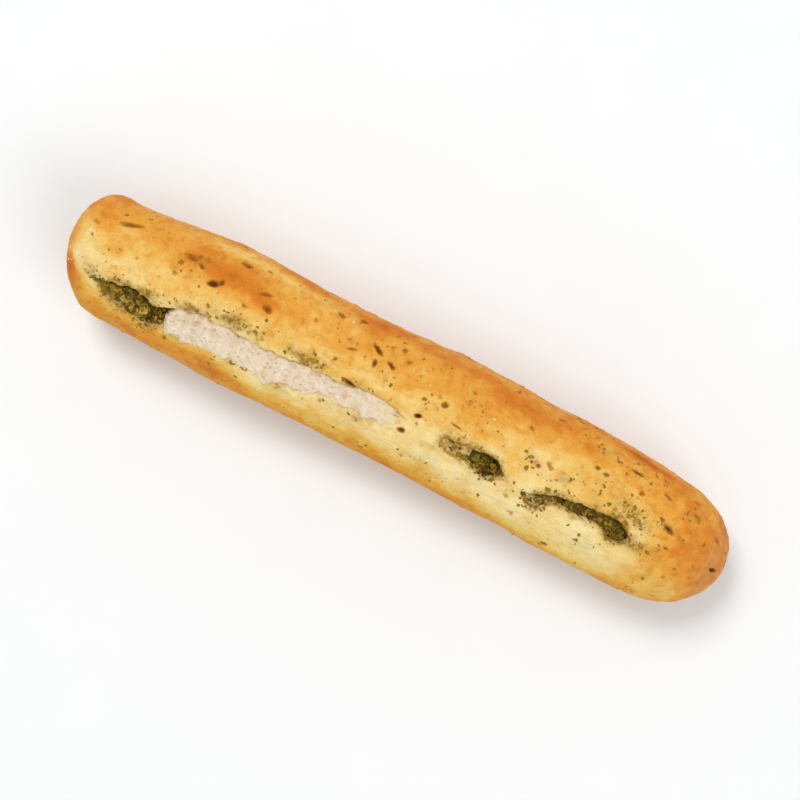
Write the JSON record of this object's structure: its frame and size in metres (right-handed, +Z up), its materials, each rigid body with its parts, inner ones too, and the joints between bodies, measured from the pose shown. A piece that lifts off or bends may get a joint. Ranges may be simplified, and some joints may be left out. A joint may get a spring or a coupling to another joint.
{
  "type": "filled grissini breadstick",
  "caption": "Short baked breadstick with rounded ends, torn open along its top seam to bare white crumb, with a ribbon of green herb pesto running through it.",
  "frame": {"origin": "below the middle of the stick, on the surface it rests on", "axes": "+X along the stick towards its rounder end, +Y across it to the browner side, +Z up through the torn seam"},
  "size_m": [0.05, 0.0094, 0.0085],
  "materials": {
    "crust": "golden baked crust, satin, pale along the seam and browner on one side, dusted with herb specks",
    "pesto": "dark green chopped herb paste, moist with oil"
  },
  "bodies": {
    "root": {"breadstick": "crust", "pesto_filling": "pesto"}
  },
  "joints": []
}
